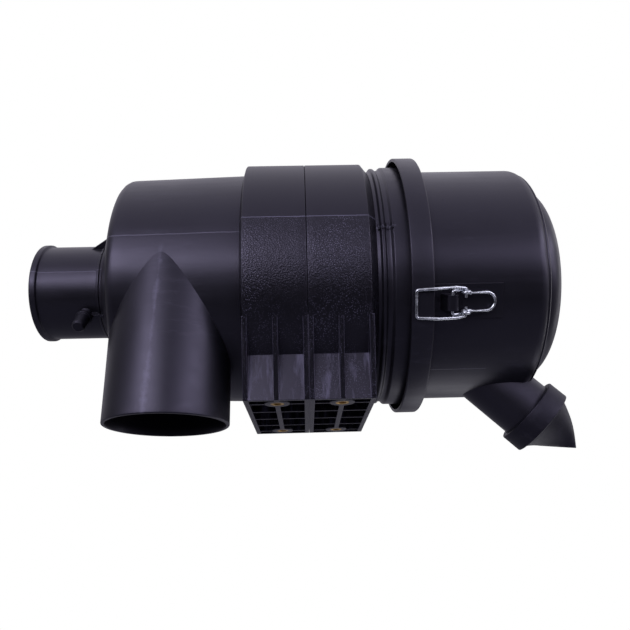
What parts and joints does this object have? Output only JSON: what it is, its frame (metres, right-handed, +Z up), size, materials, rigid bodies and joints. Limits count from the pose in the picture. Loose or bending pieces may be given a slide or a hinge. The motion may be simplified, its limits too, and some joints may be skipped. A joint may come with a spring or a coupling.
{
  "type": "air filter housing",
  "caption": "Two-stage engine air filter housing with side inlet, end outlet, latched service cover, dust valve, clamp bands with feet, and removable filter elements.",
  "frame": {"origin": "centre of the four-bolt pattern on the underside of the feet", "axes": "+X along the housing towards the service cover, +Z up away from the feet, -Y towards the inlet's side"},
  "size_m": [0.4878, 0.2601, 0.2855],
  "materials": {
    "black_polypropylene": "moulded satin",
    "black_glass_filled_nylon": "spark-textured matt",
    "black_rubber": "matt",
    "zinc_plated_steel": "bright zinc",
    "brass": "machined",
    "filter_paper": "resin-treated cellulose",
    "polyurethane": "moulded foam",
    "perforated_steel": "galvanised",
    "white_felt": "needled felt"
  },
  "bodies": {
    "housing": {"housing_outlet": "black_polypropylene", "housing_end_wall": "black_polypropylene", "housing_barrel": "black_polypropylene", "housing_inlet": "black_polypropylene", "housing_neck": "black_polypropylene", "precleaner_sleeve": "black_polypropylene", "restriction_port_cap": "black_rubber", "mounting_band_left": "black_glass_filled_nylon", "mounting_band_right": "black_glass_filled_nylon", "threaded_inserts": "brass", "band_clamp_bolts": "zinc_plated_steel", "band_clamp_washers": "zinc_plated_steel", "band_clamp_nuts": "zinc_plated_steel"},
    "cover": {"cover_spigot": "black_polypropylene", "service_cover": "black_polypropylene", "cover_end": "black_polypropylene", "drop_tube": "black_polypropylene", "cover_seal_ring": "black_rubber", "dust_baffle": "black_polypropylene", "dust_valve": "black_rubber"},
    "primary_element": {"primary_open_cap": "polyurethane", "primary_closed_cap": "polyurethane", "primary_media": "filter_paper", "primary_inner_liner": "perforated_steel", "primary_outer_liner": "perforated_steel"},
    "safety_element": {"safety_open_cap": "polyurethane", "safety_closed_cap": "polyurethane", "safety_media": "white_felt", "safety_core": "perforated_steel"},
    "lever_top": {"latch_lever_top": "zinc_plated_steel"},
    "bail_top": {"latch_bail_top": "zinc_plated_steel"},
    "lever_front": {"latch_lever_front": "zinc_plated_steel"},
    "bail_front": {"latch_bail_front": "zinc_plated_steel"},
    "lever_back": {"latch_lever_back": "zinc_plated_steel"},
    "bail_back": {"latch_bail_back": "zinc_plated_steel"}
  },
  "joints": [
    {"name": "cover_slide", "type": "slide", "parent": "housing", "child": "cover", "axis": [1, 0, 0], "range_m": [0, 0.62]},
    {"name": "primary_slide", "type": "slide", "parent": "housing", "child": "primary_element", "axis": [1, 0, 0], "range_m": [0, 0.31]},
    {"name": "safety_slide", "type": "slide", "parent": "housing", "child": "safety_element", "axis": [1, 0, 0], "range_m": [0, 0.155]},
    {"name": "latch_top_lever", "type": "hinge", "parent": "cover", "child": "lever_top", "pos_m": [0.1145, 0, 0.247], "axis": [0, -1, 0], "range_deg": [0, 150]},
    {"name": "latch_top_bail", "type": "hinge", "parent": "lever_top", "child": "bail_top", "pos_m": [0.12556, 0, 0.24525], "axis": [0, -1, 0], "range_deg": [-166, 0]},
    {"name": "latch_front_lever", "type": "hinge", "parent": "cover", "child": "lever_front", "pos_m": [0.1145, -0.10306, 0.0685], "axis": [0, 0.5, -0.866], "range_deg": [0, 150]},
    {"name": "latch_front_bail", "type": "hinge", "parent": "lever_front", "child": "bail_front", "pos_m": [0.12556, -0.10154, 0.06938], "axis": [0, 0.5, -0.866], "range_deg": [-166, 0]},
    {"name": "latch_back_lever", "type": "hinge", "parent": "cover", "child": "lever_back", "pos_m": [0.1145, 0.10306, 0.0685], "axis": [0, 0.5, 0.866], "range_deg": [0, 150]},
    {"name": "latch_back_bail", "type": "hinge", "parent": "lever_back", "child": "bail_back", "pos_m": [0.12556, 0.10154, 0.06938], "axis": [0, 0.5, 0.866], "range_deg": [-166, 0]}
  ],
  "couplings": [
    {"joint": "primary_slide", "follows": "cover_slide", "ratio": 0.5},
    {"joint": "safety_slide", "follows": "cover_slide", "ratio": 0.25},
    {"joint": "latch_top_bail", "follows": "latch_top_lever", "ratio": -1.1},
    {"joint": "latch_front_bail", "follows": "latch_front_lever", "ratio": -1.1},
    {"joint": "latch_back_bail", "follows": "latch_back_lever", "ratio": -1.1}
  ]
}
